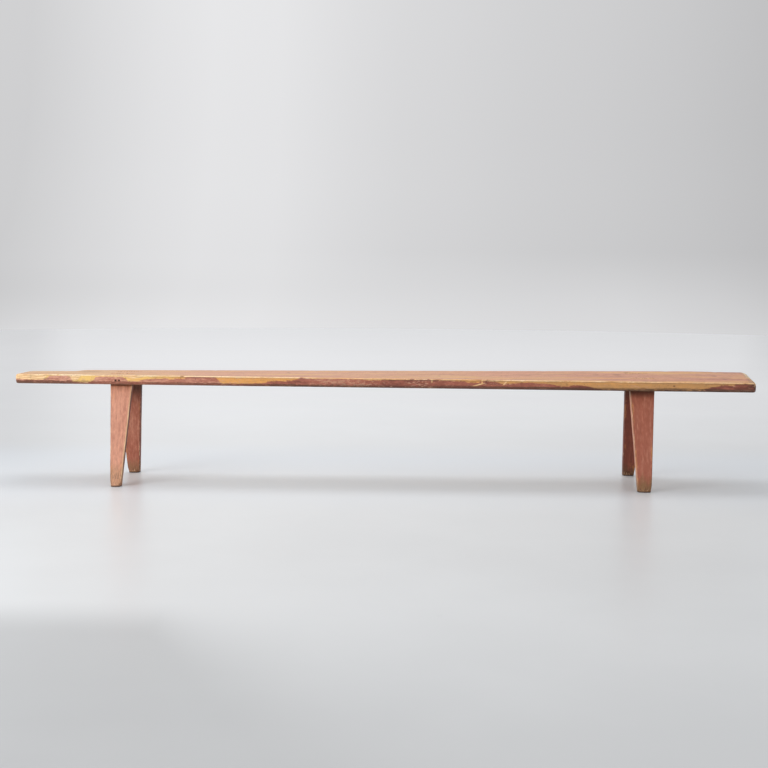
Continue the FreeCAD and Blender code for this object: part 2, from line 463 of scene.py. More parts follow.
def stations():
    """Distances from the left end, closer together at the ends and at the dents."""
    places = []
    for step in range(END_STEPS + 1):
        turn = math.pi / 2 * step / END_STEPS
        rounded = END_ROUNDING * (1 - math.cos(turn))
        places += [rounded, SEAT_LENGTH - rounded]
    places += list(np.arange(END_ROUNDING, SEAT_LENGTH - END_ROUNDING, STATION))
    for x, half, _ in CHIPS:
        middle = x + SEAT_LENGTH / 2
        places += list(np.arange(middle - 1.5 * half, middle + 1.5 * half, FINE_STATION))
    kept = []
    for place in sorted(places):
        near_end = min(place, SEAT_LENGTH - place) < END_ROUNDING
        if not kept or place - kept[-1] > (1e-7 if near_end else FINE_STATION * 0.6):
            kept.append(place)
    kept[-1] = SEAT_LENGTH
    return kept


def end_shrink(distance):
    """How far the section is drawn in near an end, as (inset, drop)."""
    if distance >= END_ROUNDING:
        return 0, 0
    turn = math.acos(1 - distance / END_ROUNDING)
    return END_ROUNDING * (1 - math.sin(turn)), END_DROP * (1 - math.sin(turn))


def worn_plank(points, normals):
    """The plank's points after wear: faces sink along their normals, arrises along their diagonals."""
    at = plank_places(points)
    x, y, z = points.T
    slow = field(points, (6.0, 0, 0), 21.0)
    quick = field(points, (27.0, 0, 0), 37.0)
    fine = field(points, (90.0, 90.0, 90.0), 5.0)
    on_top = np.clip(1 - at["down"] / TOP_LAYER, 0, 1)
    under = THICKNESS - at["down"]
    hollows = HOLLOWS * (1 + field(points, (1.7, 7.0, 0), 3.0))
    hollows += FURROWS * (1 + field(points, (0.9, 36.0, 0), 11.0))
    waves = WAVES * (1 + field(points, (3.0, 15.0, 25.0), 8.0))
    moved = points - normals * (on_top * hollows + (1 - on_top) * waves)[:, None]

    def sink(amount, direction):
        nonlocal moved
        step = np.array(direction, float) / np.linalg.norm(direction)
        moved = moved + amount[:, None] * step

    at_left, at_right = (LEFT_CORNER - at["left"]) / 0.07, 1 - at["right"] / RIGHT_CORNER
    corners = np.maximum(ease(at_left), ease(at_right))
    corners *= ease(1 - at["rear"] / CORNER_INWARD) * np.clip(1 - at["down"] / CORNER_DOWN, 0, 1)
    sink(CORNER_DROP * corners, (0, 0, -1))
    for name, chips, gain, inward in (("front", CHIPS, 1.0, 1), ("rear", REAR_CHIPS, 0.8, -1)):
        evenly, broadly, narrowly = SIDE_RUBBED
        rubbed = evenly + broadly * np.clip(slow + 0.2, 0, 1) + narrowly * np.clip(quick, 0, 1)
        amount = gain * bell(np.hypot(at[name], at["down"]), SIDE_REACH) * rubbed
        deep = bell(np.hypot(at[name], at["down"] * 0.7), CHIP_REACH)
        for place, half, lost in chips:
            amount += deep * lost * bell(x - place, half) * (0.8 + 0.4 * fine)
        sink(amount, (0, inward, -1))
        low = bell(np.hypot(at[name], under - 0.5 * BEVEL_HEIGHT), BEVEL_REACH)
        sink(low * BEVEL_RUBBED * (1 + quick), (0, inward, 0.6))
    for end, name in ((LEFT, "left"), (RIGHT, "right")):
        evenly, patchily = END_RUBBED
        ragged = np.clip(field(points, (0, 30.0, 0), 50.0 + end) + 0.2, 0, 1)
        arris = bell(np.hypot(at[name], at["down"]), END_REACH)
        amount = arris * (evenly + patchily * ragged)
        for place, half, lost in END_CHIPS[end]:
            amount += arris * lost * bell(y - place, half) * (0.8 + 0.4 * fine)
        sink(amount, (-end, 0, -1))
        low = LOW_END_RUBBED * bell(np.hypot(at[name], under), LOW_END_REACH)
        sink(low * (1 + field(points, (0, 22.0, 0), 70.0 + end)), (-end, 0, 1))
    return moved


def plank_cracks():
    """Drying checks at both ends, some in the top, and the gap beside the rear right tenon."""
    cracks = []
    for end in (LEFT, RIGHT):
        for y, tilt, length, width in END_CRACKS[end]:
            top = plank_point((end + 1) / 2, FRONT, y - CORNERS[end, FRONT][1], THICKNESS)
            cracks.append(crack((top[0], y, top[2]), (1, 0.02, 0), (0, 1, 0), (0, tilt, -1),
                                length, width, END_CRACK_DEPTH))
    for x, y, turn, length, width in TOP_CRACKS:
        down = plank_places(np.array([[x, y, SEAT_HEIGHT]]))["down"][0]
        cracks.append(crack((x, y, SEAT_HEIGHT + down), (1, turn, 0), (0, 1, 0), (0, 0.1, -1),
                            length, width, TOP_CRACK_DEPTH))
    leg = LEGS[3]
    across, length, width, depth = TENON_CRACK
    gap = leg.slide(across, 1.0, leg.tenon, 0)
    cracks.append(crack(gap, (1, 0, 0), (0, 1, 0), (0, leg.slope, -1), length, width, depth))
    return cracks


def make_plank():
    rings = []
    for place in stations():
        inset, drop = end_shrink(min(place, SEAT_LENGTH - place))
        rings.append(plank_ring(place / SEAT_LENGTH, inset, drop))
    plank = sleeve("seat", rings, PLANK_WIDE, PLANK_HIGH)
    write_points(plank.data, worn_plank(read_points(plank.data), read_points(plank.data, normals=True)))
    cut(plank, [mortise(leg) for leg in LEGS])
    cut(plank, [widened_copy("front_left_nails", NAIL_GAP)])
    cut(plank, plank_cracks())
    store(plank, plank_places(read_points(plank.data)))
    smooth(plank)
    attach(plank, "root")
    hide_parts("seat_plank")
    return plank


# Legs

LEG_WIDE = 26
LEG_HIGH = 14
LEG_STATION = 0.004
CORNER_STEPS = 2
TENON_GAP = 0.0004
SHOULDER_GAP = 0.00005
SHOULDER_ROUNDING = 0.0036
TENON_ROUNDING = 0.0006
BOARD_TOP = UNDERSIDE - 0.012
HEWN = 0.00035
HEWN_FINELY = 0.00012
# Radii of the long corners: the least, how much more where they are rubbed, and at the sole
CORNER_RADII = (0.0034, 0.0022, 0.003)
SOLE_REACH = 0.02

# Levels of the leg's outlines near the sole
SOLE_LEVELS = [0.0, 0.0004, 0.001, 0.0018, 0.0027, 0.004, 0.006, 0.009]
# Splinters lost from the corners of the soles: side across, side through and depth
SOLE_CHIPS = {
    "front_left": [(1, -1, 0.008), (-1, -1, 0.003)],
    "rear_left": [(-1, -1, 0.004), (1, -1, 0.005)],
    "front_right": [(-1, -1, 0.006), (1, -1, 0.005), (1, 1, 0.004)],
    "rear_right": [(-1, -1, 0.003)],
}
# Seeds of each leg's noise, for its shape and its paint
LEG_SEEDS = [(100.0 + 17 * number, 3.0 + 2.3 * number) for number in range(4)]


def outline_side(length, first, last, steps):
    """One side of the outline: half of each corner's arc at its ends, and even steps between."""
    def arc(radius):
        turns = [math.pi / 4 * step / CORNER_STEPS for step in range(1, CORNER_STEPS + 1)]
        return [(radius * (1 - math.sin(turn)), radius * (1 - math.cos(turn))) for turn in turns]

    inner = steps - 2 * CORNER_STEPS
    places = arc(first)[::-1]
    places += [(mean(first, length - last, step / inner), 0) for step in range(inner + 1)]
    return places + [(length - away, t) for away, t in arc(last)[:-1]]


def rounded_outline(half_width, half_depth, radii):
    """Outline of a rectangle with four rounded corners, as (across, through) in metres.

    Corners are in the order of the outline: front left, front right, rear right, rear left."""
    fl, fr, rr, rl = radii
    width, depth = 2 * half_width, 2 * half_depth
    outline = [(a - half_width, t - half_depth) for a, t in outline_side(width, fl, fr, LEG_WIDE)]
    outline += [(half_width - t, a - half_depth) for a, t in outline_side(depth, fr, rr, LEG_HIGH)]
    outline += [(half_width - a, half_depth - t) for a, t in outline_side(width, rr, rl, LEG_WIDE)]
    outline += [(t - half_width, half_depth - a) for a, t in outline_side(depth, rl, fl, LEG_HIGH)]
    return outline


def board_ring(leg, z, seed):
    """The leg's outline at one height, rubbed at its corners and bevelled near the sole."""
    radii = []
    for corner in range(4):
        rub = noise.noise((z * 14, corner * 7.3, seed))
        rub += 0.5 * noise.noise((z * 55, corner * 3.1, seed + 9))
        least, rubbed, low = CORNER_RADII
        radii.append(least + rubbed * max(0, rub + 0.15) + low * math.exp(-(z / SOLE_REACH) ** 2))
    half_width, half_depth = leg.width(z) / 2, LEG_THICKNESS / 2
    ring = []
    for across, through in rounded_outline(half_width, half_depth, radii):
        bevel = SOLE_BEVEL * (1.1 + 0.5 * noise.noise((across * 60, through * 60, seed + 4)))
        pull = bevel * (1 - math.sqrt(max(0, 1 - (1 - min(1, z / bevel)) ** 2)))
        for side, face, lost in SOLE_CHIPS[leg.name]:
            away = math.hypot(side * half_width - across, face * half_depth - through)
            pull += lost * math.exp(-(away / 0.012) ** 2 - (z / 0.016) ** 2)
        across -= math.copysign(pull, across) * (abs(across) / half_width) ** 4
        through -= math.copysign(pull, through) * (abs(through) / half_depth) ** 4
        ring.append(leg.middle(z) + np.array([across, through / math.cos(leg.angle), 0]))
    return ring


def leg_rings(leg, seed):
    heights = SOLE_LEVELS + list(np.arange(0.013, BOARD_TOP, LEG_STATION))
    rings = [board_ring(leg, z, seed) for z in heights]
    half_width = leg.shoulder / 2

    def add_ring(outline, half_depth, depth, down):
        rings.append([leg.slide(a / half_width, t / half_depth, depth, down) for a, t in outline])

    shoulder = THICKNESS + SHOULDER_GAP
    outline = rounded_outline(half_width, LEG_THICKNESS / 2, [SHOULDER_ROUNDING] * 4)
    add_ring(outline, LEG_THICKNESS / 2, leg.board, shoulder)
    outline = rounded_outline(half_width - TENON_GAP, TENON_THICKNESS / 2, [TENON_ROUNDING] * 4)
    for down in (shoulder, THICKNESS - 0.004, THICKNESS / 2, 0.0):
        add_ring(outline, TENON_THICKNESS / 2, leg.tenon, down)
    return rings


def leg_places(leg, points):
    """Distances of points from the leg's nearest long arris, and along it, across it and through it."""
    z = points[:, 2]
    middle = leg.middle(z)
    across = points[:, 0] - middle[0]
    through = (points[:, 1] - middle[1]) * math.cos(leg.angle)
    from_side = np.clip(leg.width(z) / 2 - np.abs(across), 0, 1)
    from_face = np.clip(LEG_THICKNESS / 2 - np.abs(through), 0, 1)
    return {"arris": np.hypot(from_side, from_face), "side": from_side,
            "along": z / math.cos(leg.angle), "across": across, "through": through}


def make_leg(leg, seed):
    piece = sleeve(leg.name + "_board", leg_rings(leg, seed), LEG_WIDE, LEG_HIGH)
    points = read_points(piece.data)
    z = points[:, 2]
    free = np.clip((BOARD_TOP - z) / 0.02, 0, 1) * np.clip(z / 0.004, 0, 1)
    hewn = HEWN * (1 + field(points, (22.0, 22.0, 3.5), seed))
    small = HEWN_FINELY * (1 + field(points, (60.0, 60.0, 25.0), seed + 3))
    normals = read_points(piece.data, normals=True)
    write_points(piece.data, points - normals * (free * (hewn + small))[:, None])
    wedges = [leg.name + label for label in ("_outer_wedge", "_inner_wedge")]
    cut(piece, [widened_copy(wedge, WEDGE_GAP) for wedge in wedges])
    if leg.name == "front_left":
        cut(piece, [widened_copy("front_left_nails", NAIL_GAP)])
    store(piece, leg_places(leg, read_points(piece.data)))
    smooth(piece)
    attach(piece, "root")
    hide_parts(leg.name + "_leg")
    return piece


# Materials

def make_node(tree, kind, inputs, output=0, **settings):
    node = tree.nodes.new("ShaderNode" + kind)
    for name, value in settings.items():
        setattr(node, name, value)
    for key, value in inputs.items():
        feed(node.inputs[key], value)
    return Value(node.outputs[output])


def feed(socket, value):
    if isinstance(value, Value):
        socket.id_data.links.new(value.socket, socket)
    else:
        socket.default_value = value


class Value:
    """An output of a node. Signs and methods on it make further nodes."""

    def __init__(self, socket):
        self.socket, self.tree = socket, socket.id_data

    def math(self, operation, *others, clamp=False):
        inputs = dict(enumerate((self, *others)))
        return make_node(self.tree, "Math", inputs, operation=operation, use_clamp=clamp)

    def __add__(self, other):
        return self.math("ADD", other)

    def __mul__(self, other):
        return self.math("MULTIPLY", other)

    def __sub__(self, other):
        return self.math("SUBTRACT", other)

    def __rsub__(self, other):
        return make_node(self.tree, "Math", {0: other, 1: self}, operation="SUBTRACT")

    __radd__, __rmul__ = __add__, __mul__

    def about(self, size):
        """Noise, which lies around a half, brought to lie around zero."""
        return self.math("MULTIPLY_ADD", size, -size / 2)

    def step(self, low, high):
        """0 below low, 1 above high and a smooth rise between; low may be the greater."""
        if low > high:
            return 1 - self.step(high, low)
        inputs = {0: self, 1: low, 2: high}
        return make_node(self.tree, "MapRange", inputs, interpolation_type="SMOOTHSTEP")

    def between(self, first, second):
        """First where this is 0, second where it is 1."""
        return make_node(self.tree, "MapRange", {0: self, 3: first, 4: second})

    def part(self, axis):
        return make_node(self.tree, "SeparateXYZ", {0: self}, axis)

    def curve(self, knots):
        """A number that follows given knots, between which it runs straight."""
        value = make_node(self.tree, "FloatCurve", {1: self})
        mapping = value.socket.node.mapping
        points = mapping.curves[0].points
        points[0].location, points[1].location = knots[0], knots[-1]
        for knot in knots[1:-1]:
            points.new(*knot)
        for point in points:
            point.handle_type = "VECTOR"
        mapping.update()
        return value


def most(*values):
    return reduce(lambda first, second: first.math("MAXIMUM", second), values)


class Shade:
    """One material's nodes."""

    def __init__(self, name):
        self.material = bpy.data.materials.new(name)
        self.material.use_nodes = True
        self.tree = self.material.node_tree
        self.inputs = self.tree.nodes["Principled BSDF"].inputs
        self.place = self.node("TexCoord", {}, "Object")

    def node(self, *what, **settings):
        return make_node(self.tree, *what, **settings)

    def mix(self, share, first, second, blend="MIX"):
        return self.node("Mix", {0: share, 6: first, 7: second}, 2, data_type="RGBA", blend_type=blend)

    def stretch(self, place, scale):
        return self.node("VectorMath", {0: place, 1: scale}, operation="MULTIPLY")

    def distance(self, place, other):
        return self.node("VectorMath", {0: place, 1: other}, "Value", operation="DISTANCE")

    def noise(self, place, scale, detail=3.0, rough=0.55, bend=0.0):
        inputs = {"Vector": self.stretch(place, scale), "Scale": 1.0, "Detail": detail}
        return self.node("TexNoise", {**inputs, "Roughness": rough, "Distortion": bend}, "Fac")

    def attributes(self, *names):
        return [self.node("Attribute", {}, "Fac", attribute_name=name) for name in names]

    def finish(self, shown, roughness, height):
        relief = self.node("Bump", {"Height": height, "Distance": 1.0, "Strength": 1.0})
        feed(self.inputs["Base Color"], shown)
        feed(self.inputs["Roughness"], roughness)
        feed(self.inputs["Normal"], relief)
        return self.material


BARE_EARLY, BARE_LATE, BARE_OLD = colour(244, 207, 155), colour(208, 154, 100), colour(178, 138, 98)
OCHRE_TAN, OCHRE_ORANGE, OCHRE_YELLOW = colour(199, 146, 90), colour(226, 160, 86), colour(234, 192, 110)
RED_DARK, RED, RED_PINK = colour(122, 63, 48), colour(168, 97, 76), colour(215, 156, 130)
GRIME_AND_SHADE, STAIN, EDGE_DIRT_AND_SHADE = colour(52, 32, 24), colour(98, 54, 36), colour(82, 56, 36)
SCUFF, EDGE_STREAK, DUST_AND_SHEEN = colour(208, 158, 130), colour(170, 130, 98), colour(202, 176, 156)
TOP_WARM, PALE_WOOD_AND_HIGHLIGHT, LEG_ARRIS = colour(200, 108, 68), colour(250, 230, 196), colour(236, 194, 166)
IRON, RUST, RUST_LIGHT = colour(54, 40, 34), colour(104, 62, 42), colour(140, 88, 56)


def softwood(s, place, pith, ring_width):
    """Growth rings and fibres of a board whose grain runs along the X of place."""
    radius = s.distance(s.stretch(place, (0, 1, 1)), (0, *pith))
    drift = s.noise(place, (0.9, 5, 5), 2).about(0.05)
    wobble = s.noise(place, (5, 26, 26), 2).about(0.006)
    phase = ((radius + drift + wobble) * (1 / ring_width)).math("FRACT")
    return phase.step(0.35, 0.92) * phase.step(1.0, 0.95), s.noise(place, (14, 620, 620), 2)


def worn_noise(s, place):
    """Broad and small patches, and how ragged they make the border of what is worn."""
    broad = s.noise(place, (8, 50, 50), 5, 0.6)
    chip = s.noise(place, (60, 170, 170), 4, 0.65)
    return broad, chip, broad.about(0.55) + chip.about(0.45)


def old_paint(s, place, wood, masks, tones, grime_and_shade, over=(), shine=0.0, spread=1.0):
    """Softwood with an old ochre coat and a red one over it.

    wood is its late wood and fibres, and masks are where all paint and where the red coat is off. Tones
    run from dark to pink for the red coat, and from tan by orange to yellow for the ochre. The list over
    has more (mask, colour) to lay over the coats, and spread is how much the red varies."""
    (late, fibre), (bare, ochre), (red_tone, ochre_tone) = wood, masks, tones
    streak = s.noise(place, (3.0, 75, 75), 4, 0.6)
    fine = s.noise(place, (14, 210, 210), 3, 0.6)
    cloud = s.noise(place, (9, 30, 30), 4, 0.6)
    mottle = s.noise(place, (42, 120, 120), 4, 0.65)
    timber = s.mix(late * 0.75, BARE_EARLY, BARE_LATE)
    timber = s.mix(fibre.step(0.60, 0.80), timber, BARE_OLD)
    timber = s.mix(cloud.step(0.48, 0.75) * 0.45, timber, BARE_OLD)
    varied = streak.about(0.7) + mottle.about(0.5) + cloud.about(0.4)
    hue = varied.math("ADD", ochre_tone, clamp=True)
    yellow = s.mix(hue.step(0.0, 0.5), OCHRE_TAN, OCHRE_ORANGE)
    yellow = s.mix(hue.step(0.5, 1.0), yellow, OCHRE_YELLOW)
    varied = streak.about(0.8) + mottle.about(0.9) + cloud.about(0.7)
    tone = (varied * spread).math("ADD", red_tone, clamp=True)
    red = s.mix(tone.step(0.0, 0.5), RED_DARK, RED)
    red = s.mix(tone.step(0.45, 1.0), red, RED_PINK)
    shown = s.mix(bare, s.mix(ochre, red, yellow), timber)
    for mask, layer in over:
        shown = s.mix(mask * (fine.about(0.6) + 0.80), shown, layer)
    shown = s.mix(1.0, shown, fine * 0.38 + mottle * 0.30 + 0.66, "MULTIPLY")
    pores = fibre.step(0.64, 0.76) * (1 - bare) * 0.30
    # Darker with grime, with painted shade where a mask carries it, and in the pores
    shown = s.mix(most(grime_and_shade, pores), shown, GRIME_AND_SHADE)
    layers = (1 - ochre) * 0.00010 + (1 - bare) * 0.00012
    ridges = late * 0.00010 + fibre * 0.00008 + fine * 0.00010
    rough = bare * 0.14 + cloud.about(0.16) + fine.about(0.10) + (0.50 - shine)
    return s.finish(shown, rough, layers + ridges)


# Tables along the bench, as {place: level}. How far down the front edge, as a share of its height,
# the red coat is worn off, and all paint
OCHRE_SHARE = {
    -1.5205: 0.62, -1.395: 0.6, -1.385: 0.2, -1.33: 0.26, -1.297: 0.22, -1.287: 0.72, -1.205: 0.74,
    -1.19: 0.22, -1.13: 0.16, -1.075: 0.2, -1.06: 0.6, -1.005: 0.58, -0.99: 0.4, -0.9: 0.36,
    -0.88: 0.38, -0.83: 0.28, -0.8: 0.12, -0.7: 0.14, -0.675: 0.68, -0.6: 0.72, -0.5: 0.66, -0.47: 0.52,
    -0.39: 0.4, -0.358: 0.12, -0.2: 0.16, -0.1: 0.2, 0: 0.18, 0.1: 0.14, 0.25: 0.12, 0.29: 0.2,
    0.345: 0.34, 0.376: 0.3, 0.388: 0.12, 0.43: 0.14, 0.465: 0.36, 0.55: 0.28, 0.63: 0.3, 0.66: 0.44,
    0.7: 0.62, 0.755: 0.46, 0.797: 0.56, 0.85: 0.82, 0.95: 0.88, 1.1: 0.88, 1.25: 0.86, 1.3: 0.56,
    1.35: 0.3, 1.43: 0.2, 1.5205: 0.18}
BARE_SHARE = {
    -1.5205: 0.6, -1.4: 0.58, -1.388: 0.1, -1.3: 0.12, -1.288: 0.66, -1.262: 0.6, -1.25: 0.12,
    -1.06: 0.12, -1.04: 0.34, -1.005: 0.3, -0.98: 0.1, -0.7: 0.12, -0.3: 0.09, 0.12: 0.13, 0.3: 0.07,
    0.45: 0.12, 0.6: 0.09, 0.8: 0.05, 1.1: 0.04, 1.25: 0.1, 1.5205: 0.1}
# How pink, rather than dark, the red coat is along the front edge
RED_SHARE = {
    -1.5205: 0.8, -1.32: 0.86, -1.11: 0.76, -0.99: 0.72, -0.75: 0.62, -0.36: 0.42, -0.25: 0.58,
    -0.15: 0.52, 0: 0.26, 0.13: 0.2, 0.3: 0.28, 0.5: 0.3, 0.7: 0.42, 0.85: 0.2, 1.25: 0.22, 1.5205: 0.12}
# How scuffed the red coat is there
SCUFF_SHARE = {
    -1.5205: 0.2, -1.16: 0.4, -1.12: 0.6, -1.06: 0.5, -1.03: 0.2, -0.56: 0.3, -0.3: 0.45, -0.25: 1,
    -0.11: 1, -0.07: 0.45, 0.06: 0.4, 0.11: 0.85, 0.19: 0.75, 0.22: 0.15, 0.4: 0.1, 1.3: 0, 1.5205: 0.15}
# How clear the dark line under the top arris is
LINE_SHARE = {
    -1.5205: 0, -1.38: 0.5, -1.29: 0.3, -1.24: 0.1, -1: 0.2, -0.95: 0.7, -0.6: 0.7, -0.5: 0.4,
    -0.33: 0.4, -0.2: 0.2, -0.1: 0.6, 0: 0.8, 0.2: 0.9, 0.45: 1, 0.5: 0.5, 1.24: 0.5, 1.32: 0.6,
    1.48: 0.5, 1.5205: 0.2}
# Where the dirt and painted shade of the low bevel begin, as a share of the edge's height
DIRT_AND_SHADE_START_SHARE = {
    -1.5205: 0.6, -1.1: 0.6, -0.95: 0.65, -0.5: 0.67, 0.15: 0.7, 0.35: 0.65, 1.05: 0.65, 1.13: 0.59,
    1.28: 0.6, 1.34: 0.66, 1.5205: 0.65}
# How yellow, rather than tan, the ochre coat is there
YELLOW_SHARE = {
    -1.5205: 0.9, -1.24: 1, -1: 0.85, -0.9: 0.75, -0.8: 0.6, -0.65: 0.55, -0.35: 0.5, 0: 0.6, 0.3: 0.35,
    0.6: 0.2, 0.9: 0.12, 1.3: 0.1, 1.5205: 0.05}
# How dark the low bevel of the front edge is, with dirt and painted shade
BEVEL_GRIME_AND_SHADE_SHARE = {
    -1.5205: 0.9, -1.3: 0.86, -1.22: 0.5, -1.14: 0.22, -1: 0.26, -0.85: 0.54, -0.6: 0.62, -0.35: 0.72,
    -0.05: 0.72, 0.08: 0.62, 0.45: 0.66, 0.7: 0.8, 1.1: 1, 1.3: 1, 1.5205: 0.92}
# How much of the ground shows through the thin paint on the top
TOP_GROUND_SHARE = {
    -1.5205: 0.75, -1.25: 0.66, -1.12: 0.5, -0.95: 0.38, -0.8: 0.22, -0.55: 0.14, -0.3: 0.16, 0: 0.24,
    0.2: 0.26, 0.4: 0.16, 0.55: 0.12, 0.7: 0.16, 0.85: 0.08, 1.3: 0.05, 1.5205: 0.1}
# Scratches across the front edge: place at the level of the top, lean along the bench, how far down they
# begin and end, and half their width along the bench
SCRATCHES = [
    (0.383, -0.25, 0, 0.02, 0.0032), (0.435, -3.2, 0.017, 0.029, 0.008),
    (0.484, -0.8, 0, 0.024, 0.0034), (0.178, 0, 0, 0.016, 0.0024), (-1.112, 0.5, 0, 0.016, 0.0012)]
# Dark stains and knots of the top: place, half length, half width and strength
STAINS = [
    (-1.243, 0.006, 0.046, 0.015, 0.75), (1.006, 0.078, 0.015, 0.014, 0.6),
    (1.354, -0.013, 0.01, 0.016, 0.5), (1.376, -0.096, 0.009, 0.014, 0.5),
    (-0.42, 0.03, 0.009, 0.01, 0.55), (0.21, -0.07, 0.008, 0.009, 0.5),
    (0.866, 0.01, 0.014, 0.012, 0.4), (-0.96, -0.09, 0.012, 0.006, 0.45),
    (0.955, 0.014, 0.02, 0.015, 0.6)]
# Those of the front edge: place along it and down from the top, half length, half height and strength
EDGE_STAINS = [
    (1.151, 0.017, 0.005, 0.0045, 0.7), (-1.456, 0.01, 0.0035, 0.008, 0.25),
    (-1.392, 0.02, 0.012, 0.006, 0.5), (-1.3, 0.012, 0.008, 0.005, 0.3),
    (-1.068, 0.014, 0.004, 0.004, 0.55), (-0.837, 0.005, 0.008, 0.0035, 0.6),
    (-0.705, 0.03, 0.03, 0.004, 0.4), (-0.37, 0.017, 0.02, 0.0035, 0.35),
    (0.012, 0.008, 0.02, 0.0035, 0.5), (0.092, 0.006, 0.006, 0.003, 0.5),
    (0.185, 0.01, 0.01, 0.004, 0.35), (0.345, 0.012, 0.015, 0.004, 0.4),
    (0.405, 0.005, 0.012, 0.004, 0.45), (0.43, 0.006, 0.006, 0.004, 0.45),
    (0.722, 0.018, 0.005, 0.006, 0.35), (0.785, 0.029, 0.035, 0.0045, 0.45),
    (1.028, 0.03, 0.012, 0.006, 0.4), (1.3, 0.026, 0.03, 0.006, 0.35), (1.452, 0.02, 0.012, 0.008, 0.4)]


# How far in or down the front edge, all but the underside, the top and the underside fade into the rest
FRONT_DEPTH = (0.010, 0.006)
EDGE_DEPTH = (0.0400, 0.0385)
TOP_DEPTH = (0.004, 0.001)
BENEATH_DEPTH = (0.0365, 0.0385)
# How far the bare arrises reach, and how bare they are
FRONT_ARRIS = (0.0042, 0.97)
REAR_ARRIS = (0.0036, 0.95)
LEFT_ARRIS = (0.013, 0.85)
RIGHT_ARRIS = (0.017, 1.10)


def along(s, table):
    """A level that follows a table along the bench."""
    return s.share_along.curve([(x / SEAT_LENGTH + 0.5, level) for x, level in table.items()])


def seat_fields(s):
    """Places, masks and noises that the parts of the seat's paint share."""
    s.x, s.y = s.place.part("X"), s.place.part("Y")
    s.front, s.rear, s.down, s.left, s.right = s.attributes("front", "rear", "down", "left", "right")
    s.share_along = s.x * (1 / SEAT_LENGTH) + 0.5
    s.share_down = s.down * (1 / THICKNESS)
    s.on_front = s.front.step(*FRONT_DEPTH)
    s.on_edge = s.down.step(*EDGE_DEPTH)
    s.on_top = s.down.step(*TOP_DEPTH)
    s.late, s.fibre = softwood(s, s.place, (-0.02, 0.36), 0.0034)
    s.broad, s.chip, s.ragged = worn_noise(s, s.place)
    s.speck = s.noise(s.place, (240, 380, 380), 3, 0.6)
    s.band = s.noise(s.place, (1.3, 15, 15), 4, 0.65)
    s.scuffing, s.dirtiness = along(s, SCUFF_SHARE), along(s, BEVEL_GRIME_AND_SHADE_SHARE)
    s.ground = along(s, TOP_GROUND_SHARE)


def edge_coats(s):
    """Where the front edge has lost all its paint, and where its red coat."""
    bare = (along(s, BARE_SHARE) - s.share_down + s.ragged * 0.8).step(-0.04, 0.04) * s.on_front
    ochre = (along(s, OCHRE_SHARE) - s.share_down + s.ragged).step(-0.05, 0.05) * s.on_front
    for start, lean, begin, deep, half in SCRATCHES:
        off = (s.down * lean + start - (s.x + s.chip.about(0.006))).math("ABSOLUTE")
        scratch = off.step(half * 1.5, half * 0.6) * s.down.step(deep, deep * 0.8)
        scratch = scratch * s.down.step(begin - 0.003, begin) * s.on_front
        ochre = most(ochre, scratch)
        bare = most(bare, scratch * s.chip.step(0.36, 0.50))
    return bare, ochre


def top_coats(s):
    """Where the top has lost all its paint, and where its red coat."""
    rubbed = s.broad * 0.35 + s.band * 0.85 + s.late * 0.05 + s.fibre * 0.10 + s.ground * 0.16
    at_rear = s.rear.step(0.06, 0.02) * s.x.step(0.7, 1.0)
    rubbed = rubbed + s.front.step(0.05, 0.0) * 0.02 - at_rear * 0.12
    ground = s.ground * (s.chip + s.fibre * 0.6).step(0.60, 0.90)
    ochre = most(rubbed.step(0.70, 0.80) * 0.75, ground)
    bare = (rubbed + s.chip.about(0.3)).step(0.82, 0.90) * 0.85
    return bare * s.on_top, ochre * s.on_top


def worn_arris(s, inward, reach, level):
    """Where a top arris is rubbed bare, to a ragged edge."""
    away = (inward * inward + s.down * s.down).math("SQRT")
    return (away * (1 / reach) + s.ragged * 2.4).step(level + 0.2, level - 0.2)


def seat_arrises(s):
    """All bare arrises, the bare front one, and the right end's splinters, painted pale as if lit."""
    front = worn_arris(s, s.front, *FRONT_ARRIS)
    rear = worn_arris(s, s.rear, *REAR_ARRIS)
    left = worn_arris(s, s.left, *LEFT_ARRIS)
    right = worn_arris(s, s.right, *RIGHT_ARRIS)
    patchy = s.chip + s.broad * 0.5
    # Splinters of the right end, painted paler than the wood as if lit
    splinter = right * s.y.step(-0.07, -0.03) * patchy.step(0.62, 0.74)
    return most(front, rear, left, right * patchy.step(0.70, 0.78)), front, splinter


def seat_tones(s, low):
    """How pink the red coat is, and how yellow the ochre."""
    elsewhere = 1 - s.on_front
    red = (along(s, RED_SHARE) - low * 0.45) * s.on_front + elsewhere * 0.62
    red = red + (s.band.about(0.6) - s.x * 0.05 + 0.26) * s.on_top
    return red, along(s, YELLOW_SHARE) * s.on_front + elsewhere * 0.85


def seat_grime_and_shade(s, worn, beneath):
    """Lowest edge's dirt and painted shade, grime of the underside and right end, and dark specks."""
    # Dirt with painted shade along the lowest edge, which faces down
    lowest = s.share_down.step(0.84, 0.92) * s.dirtiness * s.on_edge * 0.60
    under = s.broad.step(0.45, 0.75) * beneath * 0.5
    at_end = s.right.step(0.034, 0.014) * (1 - worn) * (s.chip + s.broad).step(1.02, 0.88) * 0.60
    return most(lowest, under, at_end, (s.speck + s.broad * 0.3).step(0.52, 0.45) * 0.7)


def seat_stains(s):
    spots = []
    for table, height, zone in ((STAINS, s.y, s.on_top), (EDGE_STAINS, s.down, s.on_front)):
        plane = s.node("CombineXYZ", {0: s.x, 1: height})
        for x, y, length, width, strength in table:
            spread = s.stretch(plane, (1 / length, 1 / width, 0))
            away = s.distance(spread, (x / length, y / width, 0))
            spots.append((away + s.chip.about(1.6)).step(1.25, 0.65) * zone * strength)
    return most(*spots)


